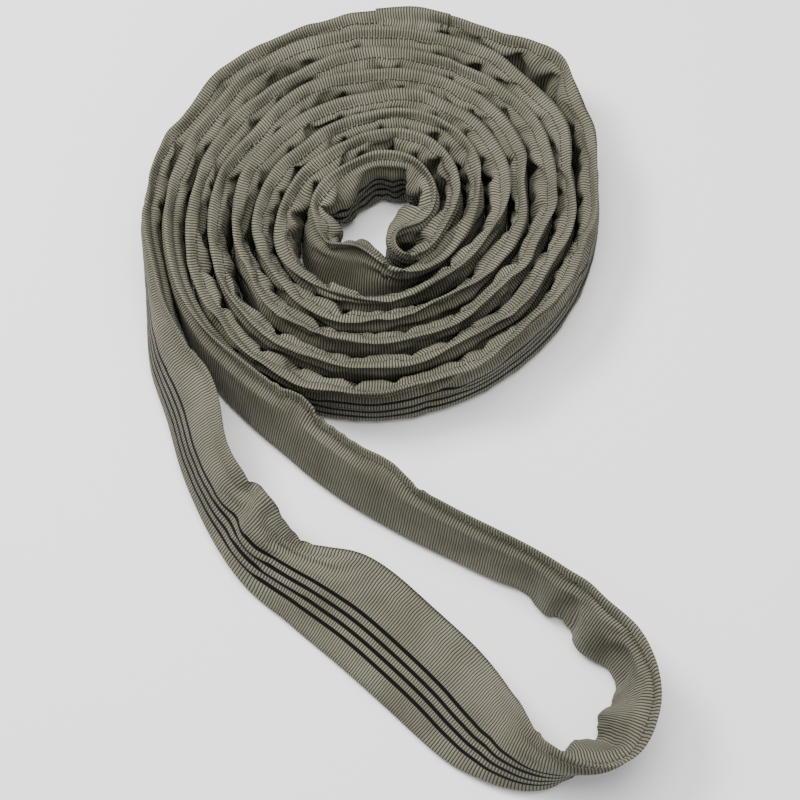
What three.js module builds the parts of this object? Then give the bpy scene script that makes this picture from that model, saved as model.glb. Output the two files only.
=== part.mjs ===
// Polyester round sling: an endless yarn hank inside a woven tubular sleeve,
// laid double, wound into a flat coil with one end left out as a free loop.
//
// Frame: millimetres, +Z up, origin at the bottom centre of the whole sling.
// The free loop points towards -Y, and the sleeve stands on its folded edge.

import * as THREE from 'three';

// ---- the sleeve and what is in it ----

const SLEEVE_HEIGHT = 58;
const SLEEVE_THICKNESS = 12.6;
const SLEEVE_WALL = 1.4;
const EDGE_FLAT = 6;
const EDGE_BEVEL = 5;
const FLANGE_DEPTH = 10;

const HANK_HEIGHT = 31;
const HANK_THICKNESS = 7.6;
const HANK_DROP = 10;
const HANK_BEVEL = 4;

const FIT_GAP = 0.3;
const THREAD_THICKNESS = 0.3;
const THREAD_WIDTH = 1.2;
const SEAM_BELOW_TOP = 6;

// ---- the coil: two strands side by side on one oval spiral ----

const COIL_CENTRE = [-7.6, 115.1];
const TURN_PITCH = 30.9;
const START_RADIUS = 27.5;
const OVAL = 6.5;
const OVAL_ANGLE = 36;
const COIL_START = -54;
const COIL_END = 1260;
const COIL_STEP = 18;
const BIGHT_SPREAD = 5;
const BIGHT_FADE = 72;
const BIGHT_STEPS = 6;

// ---- the free loop ----
// Centre line of the sleeve from the outgoing strand round to the returning one:
// x, y, and the lean of the sleeve in degrees, positive when its seamed edge
// tips towards the inside of the loop.

const FREE_LOOP = [
  [-139, 63, 0],
  [-121, 23, -5],
  [-100, -1, -10],
  [-72, -26, -15],
  [-45, -48, -18],
  [-13, -73, -16],
  [17, -92, -13],
  [48, -109, -11],
  [75, -123, -10],
  [101, -140, -10],
  [126, -163, -12],
  [144, -184, -16],
  [153, -206, -20],
  [150, -224, -25],
  [140, -239, -28],
  [126, -248, -24],
  [113, -252, -13],
  [101, -253, 2],
  [87, -251, 16],
  [69, -242, 32],
  [50, -225, 52],
  [24, -196, 68],
  [-20, -156, 70],
  [-55, -130, 56],
  [-79, -115, 44],
  [-98, -93, 37],
  [-120, -54, 31],
  [-135, -11, 27],
  [-149, 23, 20],
  [-156, 63, 8],
];
const FREE_STEP = 17;
const LEAN_STEP = 3;

// The hinge line stands in for the limp bend where the free loop is lifted.
const HINGE_Y = -50;
const HINGE_GAP = 0.6;
const HINGE_STRAIGHT = 16;

// ---- the sewn joint of the sleeve, and the blank label ----

const OVERLAP_START = 1152;
const OVERLAP_END = 1170;
const OVERLAP_WALL = 0.7;
const OVERLAP_HEM = 22;
const STITCH_ROWS = [0.12, 0.88];
const STITCH_LENGTH = 0.03;

const LABEL_START = 972;
const LABEL_END = 1008;
const LABEL_HEIGHT = 36;
const LABEL_THICKNESS = 0.5;

const degrees = (angle) => angle * Math.PI / 180;

// ---- stations: points on the centre line, each with a lean ----

function spiralRadius(angle, outer) {
  const turns = angle / 360 + (outer ? 0.5 : 0);
  const oval = OVAL * Math.cos(degrees(2 * (angle - OVAL_ANGLE)));
  const fade = THREE.MathUtils.smoothstep(angle, COIL_START, COIL_START + BIGHT_FADE);
  const spread = outer ? 0 : BIGHT_SPREAD * (1 - fade);
  return START_RADIUS + TURN_PITCH * turns + oval - spread;
}

function spiralStation(angle, outer) {
  const radius = spiralRadius(angle, outer);
  const x = COIL_CENTRE[0] + radius * Math.cos(degrees(angle));
  const y = COIL_CENTRE[1] + radius * Math.sin(degrees(angle));
  return { x, y, lean: 0 };
}

// The middle of the sling's length turns back on itself at the coil's centre.
function bightStations() {
  const inner = spiralStation(COIL_START, false);
  const outer = spiralStation(COIL_START, true);
  const middle = [(inner.x + outer.x) / 2, (inner.y + outer.y) / 2];
  const half = [(outer.x - inner.x) / 2, (outer.y - inner.y) / 2];
  const radius = Math.hypot(half[0], half[1]);
  const back = [half[1] / radius, -half[0] / radius];
  const stations = [];
  for (let step = 1; step < BIGHT_STEPS; step += 1) {
    const turn = Math.PI * step / BIGHT_STEPS;
    const x = middle[0] + half[0] * Math.cos(turn) + back[0] * radius * Math.sin(turn);
    const y = middle[1] + half[1] * Math.cos(turn) + back[1] * radius * Math.sin(turn);
    stations.push({ x, y, lean: 0 });
  }
  return stations;
}

function spiralStations(outer) {
  const stations = [];
  for (let angle = COIL_START; angle <= COIL_END; angle += COIL_STEP) {
    stations.push(spiralStation(angle, outer));
  }
  return stations;
}

// The free loop as one smooth curve that starts and ends along the coil's strands.
function freeStations() {
  const before = spiralStation(COIL_END - COIL_STEP, false);
  const start = spiralStation(COIL_END, false);
  const end = spiralStation(COIL_END, true);
  const after = spiralStation(COIL_END - COIL_STEP, true);
  const points = [
    new THREE.Vector3(before.x, before.y, 0),
    new THREE.Vector3(start.x, start.y, 0),
    ...FREE_LOOP.map(([x, y, lean]) => new THREE.Vector3(x, y, lean)),
    new THREE.Vector3(end.x, end.y, 0),
    new THREE.Vector3(after.x, after.y, 0),
  ];
  const curve = new THREE.CatmullRomCurve3(points, false, 'centripetal');
  const last = points.length - 1;
  const samples = curve.getPoints(last * 40).slice(40, -40);
  const kept = [samples[0]];
  let travelled = 0;
  for (let index = 1; index < samples.length; index += 1) {
    const step = samples[index].clone().sub(samples[index - 1]);
    const tipped = Math.abs(samples[index].z - kept.at(-1).z);
    travelled += Math.hypot(step.x, step.y);
    if (travelled >= FREE_STEP || tipped >= LEAN_STEP) {
      travelled = 0;
      kept.push(samples[index]);
    }
  }
  return kept.slice(1)
    .filter((sample) => Math.abs(sample.y - HINGE_Y) > HINGE_STRAIGHT)
    .map((sample) => ({ x: sample.x, y: sample.y, lean: sample.z }));
}

// Splits the free run at the hinge line, leaving half the gap on each side.
function crossing(from, to, y) {
  const part = (y - from.y) / (to.y - from.y);
  return {
    x: from.x + (to.x - from.x) * part,
    y,
    lean: from.lean + (to.lean - from.lean) * part,
    flush: true,
  };
}

function splitAtHinge(stations) {
  const coilSide = HINGE_Y + HINGE_GAP / 2;
  const loopSide = HINGE_Y - HINGE_GAP / 2;
  const out = stations.findIndex((station) => station.y < HINGE_Y);
  const back = stations.findLastIndex((station) => station.y < HINGE_Y);
  const outgoing = stations.slice(0, out);
  outgoing.push(crossing(stations[out - 1], stations[out], coilSide));
  const returning = stations.slice(back + 1);
  returning.unshift(crossing(stations[back], stations[back + 1], coilSide));
  const loop = stations.slice(out, back + 1);
  loop.unshift(crossing(stations[out - 1], stations[out], loopSide));
  loop.push(crossing(stations[back], stations[back + 1], loopSide));
  return { outgoing, returning, loop };
}

// ---- sections, drawn with x towards the outside of the sling's loop ----
// The seamed flange slopes in over the inner face, above the body of the band.

function bandOutline(halfThickness, bottom, top, flat, bevel, flange = bevel) {
  const half = flat / 2;
  return [
    new THREE.Vector2(-half, bottom),
    new THREE.Vector2(half, bottom),
    new THREE.Vector2(halfThickness, bottom + bevel),
    new THREE.Vector2(halfThickness, top - bevel),
    new THREE.Vector2(half, top),
    new THREE.Vector2(-half, top),
    new THREE.Vector2(-halfThickness, top - flange),
    new THREE.Vector2(-halfThickness, bottom + bevel),
  ];
}

function rectangle(left, right, bottom, top) {
  return [
    new THREE.Vector2(left, bottom),
    new THREE.Vector2(right, bottom),
    new THREE.Vector2(right, top),
    new THREE.Vector2(left, top),
  ];
}

const halfHeight = SLEEVE_HEIGHT / 2;
const halfThickness = SLEEVE_THICKNESS / 2;
const sleeveOutline = bandOutline(
  halfThickness,
  -halfHeight,
  halfHeight,
  EDGE_FLAT,
  EDGE_BEVEL,
  FLANGE_DEPTH,
);

function sleeveSection() {
  const shape = new THREE.Shape(sleeveOutline);
  const inside = bandOutline(
    halfThickness - SLEEVE_WALL,
    -halfHeight + SLEEVE_WALL,
    halfHeight - SLEEVE_WALL,
    EDGE_FLAT - SLEEVE_WALL,
    EDGE_BEVEL - SLEEVE_WALL / 2,
    FLANGE_DEPTH - SLEEVE_WALL / 2,
  );
  shape.holes.push(new THREE.Path(inside));
  return shape;
}

function hankSection() {
  const bottom = -HANK_DROP - HANK_HEIGHT / 2;
  const top = -HANK_DROP + HANK_HEIGHT / 2;
  return new THREE.Shape(bandOutline(HANK_THICKNESS / 2, bottom, top, EDGE_FLAT, HANK_BEVEL));
}

// A point beside the flange's slope, at a distance down it from the top edge.
function besideSlope(down, away) {
  const along = new THREE.Vector2(EDGE_FLAT / 2 - halfThickness, -FLANGE_DEPTH).normalize();
  const outward = new THREE.Vector2(along.y, -along.x);
  return new THREE.Vector2(-EDGE_FLAT / 2, halfHeight)
    .addScaledVector(along, down)
    .addScaledVector(outward, away);
}

function threadSection() {
  const lower = SEAM_BELOW_TOP + THREAD_WIDTH;
  return new THREE.Shape([
    besideSlope(SEAM_BELOW_TOP, FIT_GAP),
    besideSlope(SEAM_BELOW_TOP, FIT_GAP + THREAD_THICKNESS),
    besideSlope(lower, FIT_GAP + THREAD_THICKNESS),
    besideSlope(lower, FIT_GAP),
  ]);
}

// The lapped sleeve end: a saddle over the outer face and the top edge. It stops
// short of the ground on one side and of the lengthways seam on the other.
function overlapSection() {
  const inner = halfThickness + FIT_GAP;
  const outer = inner + OVERLAP_WALL;
  const roof = halfHeight + FIT_GAP;
  const shoulder = halfHeight - EDGE_BEVEL;
  const half = EDGE_FLAT / 2;
  const seamSide = SEAM_BELOW_TOP - 2;
  return new THREE.Shape([
    new THREE.Vector2(inner, -OVERLAP_HEM),
    new THREE.Vector2(outer, -OVERLAP_HEM),
    new THREE.Vector2(outer, shoulder + FIT_GAP),
    new THREE.Vector2(half, roof + OVERLAP_WALL),
    new THREE.Vector2(-half, roof + OVERLAP_WALL),
    besideSlope(seamSide, FIT_GAP + OVERLAP_WALL),
    besideSlope(seamSide, FIT_GAP),
    new THREE.Vector2(-half, roof),
    new THREE.Vector2(half, roof),
    new THREE.Vector2(inner, shoulder),
  ]);
}

function stitchRowSection() {
  const face = halfThickness + OVERLAP_WALL + 2 * FIT_GAP;
  return new THREE.Shape(rectangle(face, face + THREAD_THICKNESS, 4 - OVERLAP_HEM, OVERLAP_HEM));
}

function labelSection() {
  const face = halfThickness + FIT_GAP;
  const half = LABEL_HEIGHT / 2;
  return new THREE.Shape(rectangle(face, face + LABEL_THICKNESS, -half, half));
}

// ---- sweeping a section along stations ----
// A leaning sleeve is lifted so that its lowest corner still touches the ground.

function liftFor(lean) {
  const sine = Math.sin(degrees(lean));
  const cosine = Math.cos(degrees(lean));
  return -Math.min(...sleeveOutline.map((corner) => corner.x * sine + corner.y * cosine));
}

class BandPath extends THREE.Curve {
  constructor(stations) {
    super();
    this.stations = stations;
  }

  getPoint(t, target = new THREE.Vector3()) {
    const station = this.stations[Math.round(t * (this.stations.length - 1))];
    return target.set(station.x, station.y, liftFor(station.lean));
  }

  getSpacedPoints() {
    return this.stations.map((_, index) => this.getPoint(index / (this.stations.length - 1)));
  }

  tangent(index) {
    const { stations } = this;
    const before = stations[Math.max(index - 1, 0)];
    const after = stations[Math.min(index + 1, stations.length - 1)];
    const { previous = before, next = after } = stations[index];
    return new THREE.Vector3(next.x - previous.x, next.y - previous.y, 0).normalize();
  }

  // Across the band is level when it stands upright, and turns with the lean.
  // A flush end keeps its section in the plane of the hinge line.
  computeFrenetFrames() {
    const tangents = [];
    const normals = [];
    const binormals = [];
    this.stations.forEach((station, index) => {
      const tangent = this.tangent(index);
      const across = new THREE.Vector3(-tangent.y, tangent.x, 0);
      if (station.flush) across.set(1 / across.x, 0, 0);
      const upright = new THREE.Vector3(0, 0, 1);
      const sine = Math.sin(degrees(station.lean));
      const cosine = Math.cos(degrees(station.lean));
      tangents.push(tangent);
      normals.push(across.clone().multiplyScalar(cosine).addScaledVector(upright, sine));
      binormals.push(upright.multiplyScalar(cosine).addScaledVector(across, -sine));
    });
    return { tangents, normals, binormals };
  }
}

function sweep(name, section, stations, material) {
  const geometry = new THREE.ExtrudeGeometry(section, {
    steps: stations.length - 1,
    extrudePath: new BandPath(stations),
  });
  const mesh = new THREE.Mesh(geometry, material);
  mesh.name = name;
  return mesh;
}

// A short stretch of the outer or inner spiral strand, for what is sewn on it.
function stretch(start, end, outer) {
  const stations = [];
  for (let angle = start; angle <= end; angle += COIL_STEP) {
    stations.push({
      ...spiralStation(angle, outer),
      previous: spiralStation(angle - COIL_STEP, outer),
      next: spiralStation(angle + COIL_STEP, outer),
    });
  }
  return outer ? swapDirection(stations) : stations;
}

function swapDirection(stations) {
  return stations.reverse().map((station) => ({
    ...station,
    previous: station.next,
    next: station.previous,
  }));
}

// A piece of a straight two-station stretch, between two parts of its length.
function portion([from, to], start, end) {
  const at = (part) => ({
    x: from.x + (to.x - from.x) * part,
    y: from.y + (to.y - from.y) * part,
    lean: 0,
    previous: from,
    next: to,
  });
  return [at(start), at(end)];
}

// ---- materials ----

const fabric = (color) => new THREE.MeshStandardMaterial({ color, roughness: 0.9, metalness: 0 });
const weave = fabric(0x8b8772);
const hankYarn = fabric(0xd9d6cc);
const seamYarn = fabric(0x4d4b40);
const lappedWeave = fabric(0x817d69);
const labelCloth = fabric(0x2f5f9e);

// ---- the sling ----

const { outgoing, returning, loop } = splitAtHinge(freeStations());
const coil = [
  ...returning,
  ...spiralStations(true).reverse(),
  ...bightStations(),
  ...spiralStations(false),
  ...outgoing,
];
const overlap = stretch(OVERLAP_START, OVERLAP_END, true);

const sling = new THREE.Group();
sling.add(sweep('coil_sleeve', sleeveSection(), coil, weave));
sling.add(sweep('free_loop_sleeve', sleeveSection(), loop, weave));
sling.add(sweep('coil_yarn_hank', hankSection(), coil, hankYarn));
sling.add(sweep('free_loop_yarn_hank', hankSection(), loop, hankYarn));
sling.add(sweep('coil_seam_thread', threadSection(), coil, seamYarn));
sling.add(sweep('free_loop_seam_thread', threadSection(), loop, seamYarn));
sling.add(sweep('sleeve_end_overlap', overlapSection(), overlap, lappedWeave));
STITCH_ROWS.forEach((place, index) => {
  const row = portion(overlap, place, place + STITCH_LENGTH);
  sling.add(sweep(`overlap_stitch_row_${index + 1}`, stitchRowSection(), row, seamYarn));
});
const labelStretch = stretch(LABEL_START, LABEL_END, false);
sling.add(sweep('identification_label', labelSection(), labelStretch, labelCloth));

export default sling;
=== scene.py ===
import math

import bpy
import numpy as np
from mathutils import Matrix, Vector


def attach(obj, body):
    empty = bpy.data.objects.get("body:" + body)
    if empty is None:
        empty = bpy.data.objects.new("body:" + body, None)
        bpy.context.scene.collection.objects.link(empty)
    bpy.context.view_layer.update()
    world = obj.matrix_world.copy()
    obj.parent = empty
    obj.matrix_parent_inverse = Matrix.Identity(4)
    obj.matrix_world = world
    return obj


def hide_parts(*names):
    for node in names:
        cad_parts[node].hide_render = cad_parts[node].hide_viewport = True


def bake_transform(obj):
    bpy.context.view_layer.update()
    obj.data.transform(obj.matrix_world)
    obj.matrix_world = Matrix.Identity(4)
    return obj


# A round sling, laid double and wound into a coil, with one end left out as a free loop.
# Its sleeve is one closed tube of cloth: STATIONS sections along the sling, each of ROWS points.
# It is drawn with its folds, then let go by a position-based cloth relaxation, and the yarn,
# seam, cuff and label are placed on or in it. The sling's own sizes are in mm, which MM turns
# into the frame's metres; the camera, lights, blend and materials are in metres.

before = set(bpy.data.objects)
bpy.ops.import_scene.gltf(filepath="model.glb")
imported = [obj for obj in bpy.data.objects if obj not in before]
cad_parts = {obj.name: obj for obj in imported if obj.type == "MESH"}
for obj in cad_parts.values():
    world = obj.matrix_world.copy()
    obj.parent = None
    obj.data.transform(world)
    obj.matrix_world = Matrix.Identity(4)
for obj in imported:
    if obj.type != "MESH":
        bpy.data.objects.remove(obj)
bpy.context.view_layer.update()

MM = 0.001
RANDOM = np.random.default_rng(7)

# ---- camera, light, floor ----

CAMERA_ELEVATION = 69.0
CAMERA_DISTANCE = 1.458
CAMERA_TARGET = (0.0045, -0.0024, 0.0)
CAMERA_LENS = 99.0
CAMERA_SENSOR = 36.0

LIGHTS = [
    # name, place, size, power, colour
    ("overhead", (0.0, 0.15, 1.9), 1.3, 40.0, (1.0, 1.0, 1.0)),
    ("key", (-0.80, 0.45, 1.4), 0.6, 30.0, (1.0, 0.99, 0.97)),
    ("fill", (0.9, -0.9, 1.2), 1.2, 6.0, (0.97, 0.98, 1.0)),
]
WORLD_STRENGTH = 0.43
FLOOR_HALF = 6.0
FLOOR_COLOR = (0.93, 0.93, 0.93, 1)
FLOOR_DROP = 0.0002


def make_camera():
    camera = bpy.data.objects.new("camera", bpy.data.cameras.new("camera"))
    bpy.context.scene.collection.objects.link(camera)
    camera.data.lens = CAMERA_LENS
    camera.data.sensor_width = CAMERA_SENSOR
    elevation = math.radians(CAMERA_ELEVATION)
    x, y, z = CAMERA_TARGET
    camera.location = (
        x,
        y - CAMERA_DISTANCE * math.cos(elevation),
        z + CAMERA_DISTANCE * math.sin(elevation),
    )
    camera.rotation_euler = (math.pi / 2 - elevation, 0.0, 0.0)
    bpy.context.scene.camera = camera


def area_light(name, location, size, power, color):
    """A round lamp that shines at the middle of the floor."""
    light = bpy.data.objects.new(name, bpy.data.lights.new(name, "AREA"))
    light.data.shape = "DISK"
    light.data.size = size
    light.data.energy = power
    light.data.color = color
    light.location = location
    light.rotation_euler = Vector(-np.array(location)).to_track_quat("-Z", "Y").to_euler()
    bpy.context.scene.collection.objects.link(light)


def make_studio():
    world = bpy.data.worlds.new("studio")
    world.use_nodes = True
    background = world.node_tree.nodes["Background"]
    background.inputs["Color"].default_value = (1.0, 1.0, 1.0, 1.0)
    background.inputs["Strength"].default_value = WORLD_STRENGTH
    bpy.context.scene.world = world
    for light in LIGHTS:
        area_light(*light)


def make_floor():
    mesh = bpy.data.meshes.new("floor")
    corners = [(x * FLOOR_HALF, y * FLOOR_HALF, 0) for x, y in ((-1, -1), (1, -1), (1, 1), (-1, 1))]
    mesh.from_pydata(corners, [], [(0, 1, 2, 3)])
    floor = bpy.data.objects.new("floor", mesh)
    bpy.context.scene.collection.objects.link(floor)
    material = bpy.data.materials.new("floor_paper")
    material.use_nodes = True
    shader = material.node_tree.nodes["Principled BSDF"]
    shader.inputs["Base Color"].default_value = FLOOR_COLOR
    shader.inputs["Roughness"].default_value = 0.9
    mesh.materials.append(material)
    floor.location.z = -FLOOR_DROP


make_camera()
make_studio()
make_floor()

# ---- the sling's centre line ----

# The sleeve's section stands SLEEVE_HEIGHT high; the free loop's points are x, y and lean in degrees.

SLEEVE_HEIGHT = 58.0
SLEEVE_THICKNESS = 12.6
EDGE_FLAT = 6.0
EDGE_BEVEL = 5.0
FLANGE_DEPTH = 10.0

COIL_CENTRE = (-7.6, 115.1)
TURN_PITCH = 30.9
START_RADIUS = 27.5
OVAL = 6.5
OVAL_ANGLE = 36.0
COIL_START = -54.0
COIL_END = 1260.0
COIL_STEP = 18.0
COIL_FINENESS = 0.5
BIGHT_POINTS = 40
LOOP_POINTS = 40
BIGHT_SPREAD = 5.0
BIGHT_FADE = 72.0

FREE_LOOP = [
    (-139, 63, 0), (-121, 23, -5), (-100, -1, -10), (-72, -26, -15), (-45, -48, -18),
    (-13, -73, -16), (17, -92, -13), (48, -109, -11), (75, -123, -10), (101, -140, -10),
    (126, -163, -12), (144, -184, -16), (153, -206, -20), (150, -224, -25), (140, -239, -28),
    (126, -248, -24), (113, -252, -13), (101, -253, 2), (87, -251, 16), (69, -242, 32),
    (50, -225, 52), (24, -196, 68), (-20, -156, 70), (-55, -130, 56), (-79, -115, 44),
    (-98, -93, 37), (-120, -54, 31), (-135, -11, 27), (-149, 23, 20), (-156, 63, 8),
]


def soften(values, times):
    """Closed values with each one drawn towards its neighbours, that many times."""
    for _ in range(times):
        values = 0.25 * np.roll(values, 1, 0) + 0.5 * values + 0.25 * np.roll(values, -1, 0)
    return values


def smoothstep(value, low, high):
    part = np.clip((value - low) / (high - low), 0, 1)
    return part * part * (3 - 2 * part)


def spiral(angle, outer):
    """Points at those coil angles, in degrees, on the outer or the inner of the two strands."""
    turns = angle / 360 + (0.5 if outer else 0.0)
    oval = OVAL * np.cos(np.radians(2 * (angle - OVAL_ANGLE)))
    fade = smoothstep(angle, COIL_START, COIL_START + BIGHT_FADE)
    spread = 0 if outer else BIGHT_SPREAD * (1 - fade)
    radius = START_RADIUS + TURN_PITCH * turns + oval - spread
    x = COIL_CENTRE[0] + radius * np.cos(np.radians(angle))
    y = COIL_CENTRE[1] + radius * np.sin(np.radians(angle))
    return np.stack([x, y, np.zeros_like(x)], axis=-1)


def bight():
    """The half turn at the coil's centre that joins the inner strand to the outer one."""
    inner, outer = spiral(np.array([COIL_START]), False)[0], spiral(np.array([COIL_START]), True)[0]
    middle, half = (inner + outer) / 2, (outer - inner) / 2
    back = np.array([half[1], -half[0], 0])
    turn = np.linspace(0, math.pi, BIGHT_POINTS)[1:-1, None]
    return middle + half * np.cos(turn) + back * np.sin(turn)


def centripetal(points, count):
    """Catmull-Rom curve with centripetal spacing, from the second point to the last but one."""
    pieces = []
    for index in range(1, len(points) - 2):
        p0, p1, p2, p3 = points[index - 1:index + 3]
        d0, d1, d2 = (np.linalg.norm(b - a) ** 0.5 for a, b in ((p0, p1), (p1, p2), (p2, p3)))
        t1 = (p1 - p0) / d0 - (p2 - p0) / (d0 + d1) + (p2 - p1) / d1
        t2 = (p2 - p1) / d1 - (p3 - p1) / (d1 + d2) + (p3 - p2) / d2
        t1, t2 = t1 * d1, t2 * d1
        t = np.linspace(0, 1, count, endpoint=False)[:, None]
        c2 = -3 * p1 + 3 * p2 - 2 * t1 - t2
        c3 = 2 * p1 - 2 * p2 + t1 + t2
        pieces.append(p1 + t1 * t + c2 * t * t + c3 * t ** 3)
    return np.concatenate(pieces)


def centre_line():
    """One closed run: the outer strand inwards, the bight, the inner strand out, the free loop.
    Gives x, y and lean for each point, and which stretch it belongs to."""
    inwards = np.arange(COIL_END, COIL_START, -COIL_FINENESS)
    outwards = np.arange(COIL_START, COIL_END, COIL_FINENESS)
    ends = [COIL_END - COIL_STEP, COIL_END]
    keys = np.concatenate([
        spiral(np.array(ends), False),
        np.array(FREE_LOOP, float),
        spiral(np.array(ends[::-1]), True),
    ])
    loop = centripetal(keys, LOOP_POINTS)
    parts = [spiral(inwards, True), bight(), spiral(outwards, False), loop]
    path = np.concatenate(parts)
    kind = np.concatenate([np.full(len(part), index) for index, part in enumerate(parts)])
    return path, kind


STATIONS = 1120
ROWS = 28


def resample(path, kind, count):
    """The closed path as that many evenly spaced stations, with their kinds and its length."""
    closed = np.concatenate([path, path[:1]])
    steps = np.hypot(*np.diff(closed[:, :2], axis=0).T)
    run = np.concatenate([[0], np.cumsum(steps)])
    total = run[-1]
    at = np.arange(count) * total / count
    line = np.stack([np.interp(at, run, closed[:, axis]) for axis in range(3)], axis=1)
    kinds = kind[np.minimum(np.searchsorted(run, at, side="right") - 1, len(kind) - 1)]
    return soften(line, 3), kinds, total


path, path_kind = centre_line()
LINE, KIND, LENGTH = resample(path, path_kind, STATIONS)
STEP = LENGTH / STATIONS
RUN = np.arange(STATIONS) * STEP

OUTER_STRAND, BIGHT, INNER_STRAND, LOOP = range(4)
FAR_AWAY = 1e3
BIGHT_SHIFT = (1.5, -4.0)
BIGHT_TOP_SHIFT = (2.5, -7.0, 0.0)
BIGHT_REACH = 36.0
BIGHT_ROOM = 8.0
bight_run = RUN[KIND == BIGHT].mean()
NEAR_BIGHT = np.exp(-(np.abs(RUN - bight_run) / BIGHT_REACH) ** 2)
LINE[:, :2] += NEAR_BIGHT[:, None] * np.array(BIGHT_SHIFT)


def run_at(angle, outer):
    """Distance along the sling of the station nearest a coil angle on one strand."""
    place = spiral(np.array([float(angle)]), outer)[0]
    kind = OUTER_STRAND if outer else INNER_STRAND
    away = np.hypot(LINE[:, 0] - place[0], LINE[:, 1] - place[1]) + FAR_AWAY * (KIND != kind)
    return RUN[np.argmin(away)]


# How far the outer turn stands out from the round at its kink at the back right, by coil angle.
CORNER = [
    (1150, 0), (1141, 2.5), (1133, 7.5), (1126, 12), (1118, 9), (1109, 6.5), (1098, 2.5), (1088, 0),
]
corner = np.interp(RUN, [run_at(angle, True) for angle, _ in CORNER], [away for _, away in CORNER])
corner = soften(corner, 2)
from_centre = LINE[:, :2] - np.array(COIL_CENTRE)
LINE[:, :2] += corner[:, None] * from_centre / np.hypot(*from_centre.T)[:, None]
tangent = np.roll(LINE, -1, 0) - np.roll(LINE, 1, 0)
tangent = tangent[:, :2] / np.hypot(tangent[:, 0], tangent[:, 1])[:, None]
turn = np.cross(np.roll(tangent, 1, 0), np.roll(tangent, -1, 0))
CURVATURE = soften(turn / (2 * STEP), 3)

in_loop = KIND == LOOP
loop_start = np.flatnonzero(in_loop)[0]
LOOP_PART = np.where(in_loop, (np.arange(STATIONS) - loop_start) * STEP, -1.0)


def corner_lift(lean):
    """How high the section's middle lies when its lowest corner is on the floor."""
    half, side = EDGE_FLAT / 2, SLEEVE_THICKNESS / 2
    high = SLEEVE_HEIGHT / 2
    corners = [
        (-half, -high), (half, -high), (side, EDGE_BEVEL - high), (side, high - EDGE_BEVEL),
        (half, high), (-half, high), (-side, high - FLANGE_DEPTH), (-side, EDGE_BEVEL - high),
    ]
    sine, cosine = np.sin(lean), np.cos(lean)
    return -np.min([x * sine + y * cosine for x, y in corners], axis=0)


LEAN = np.radians(LINE[:, 2])
LIFT = corner_lift(LEAN)
side = np.stack([-tangent[:, 1], tangent[:, 0], np.zeros(STATIONS)], axis=1)
up = np.array([0.0, 0.0, 1.0])
ACROSS = side * np.cos(LEAN)[:, None] + up * np.sin(LEAN)[:, None]
UPWARD = up * np.cos(LEAN)[:, None] - side * np.sin(LEAN)[:, None]
ORIGIN = np.stack([LINE[:, 0], LINE[:, 1], LIFT], axis=1) - UPWARD * SLEEVE_HEIGHT / 2


# How far the top of the innermost turn leans towards the middle of the coil, by coil angle.
INNER_LEAN = [(184, 0), (200, 7), (216, 13), (238, 25), (256, 25), (272, 8), (286, 0)]


def lean_slope():
    """Sideways shift of the sleeve per millimetre of height, on top of its own lean."""
    runs = [run_at(angle, False) for angle, _ in INNER_LEAN]
    lean = np.interp(RUN, runs, [amount for _, amount in INNER_LEAN])
    lean = soften(lean, 6)
    return (side * lean[:, None] + NEAR_BIGHT[:, None] * np.array(BIGHT_TOP_SHIFT)) / SLEEVE_HEIGHT


SLOPE = lean_slope()
SLOPE_ACROSS = np.einsum("ik,ik->i", SLOPE, ACROSS)

# ---- the sleeve's sections ----

# Distance round the sleeve from its bottom fold to the crest of the flange
HALF_ROUND = np.array([0, 4, 9, 14.5, 20, 26, 32, 38, 44, 50, 55.5, 59.5, 61.5, 65.7, 70.0])
GIRTH = 140.0
CREST = GIRTH / 2
ROUND = np.concatenate([HALF_ROUND, GIRTH - HALF_ROUND[-2:0:-1]])
SEAM_ROW, CREST_ROW = 12, 14

# Across and up, from the bottom fold to the seam; the flange is added by its own angle.
BODY_LOOSE = [
    (0, 0.9), (4.0, 1.0), (6.6, 5.0), (6.9, 10.5), (6.9, 16), (6.9, 22), (6.8, 28), (6.6, 34),
    (6.3, 40), (5.2, 45.9), (3.2, 50.0), (1.5, 52.4), (0.9, 53.0),
]
BODY_FLAT = [
    (0, -2.5), (2.9, -0.5), (4.2, 4.0), (4.6, 9.5), (4.8, 15), (4.9, 21), (4.8, 27), (4.6, 33),
    (4.3, 39), (3.6, 45), (2.6, 50.4), (1.5, 54.2), (0.9, 56.0),
]
BODY_OUTWARD = [
    (0, 0.9), (4.0, 1.0), (6.5, 5.0), (6.8, 10.5), (6.8, 16), (6.7, 22), (6.6, 28), (6.4, 34),
    (6.0, 40), (4.8, 45.6), (2.8, 49.6), (1.3, 51.4), (0.9, 51.8),
]
BODY_INWARD = [
    (0, 0.9), (4.0, 1.0), (6.6, 5.0), (6.9, 10.5), (6.9, 16), (6.9, 22), (6.9, 28), (6.9, 34),
    (6.8, 40), (6.2, 46), (4.4, 50.2), (1.8, 51.9), (0.9, 51.8),
]
FLANGE_HALF = 1.25
SEAM_HALF = 0.85


def catmull(values, at):
    """Closed Catmull-Rom interpolation of evenly spaced values, at fractional places."""
    low = np.floor(at).astype(int)
    part = (at - low).reshape((-1,) + (1,) * (values.ndim - 1))
    p = [values[(low + shift) % len(values)] for shift in (-1, 0, 1, 2)]
    return 0.5 * (
        2 * p[1] + (p[2] - p[0]) * part
        + (2 * p[0] - 5 * p[1] + 4 * p[2] - p[3]) * part ** 2
        + (3 * p[1] - p[0] - 3 * p[2] + p[3]) * part ** 3
    )


def wave(long):
    """Smooth closed random wave along the sling, about unit size, with that wavelength."""
    count = max(3, int(round(2 * LENGTH / long)))
    return catmull(RANDOM.normal(size=count), np.arange(STATIONS) / STATIONS * count)


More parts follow.
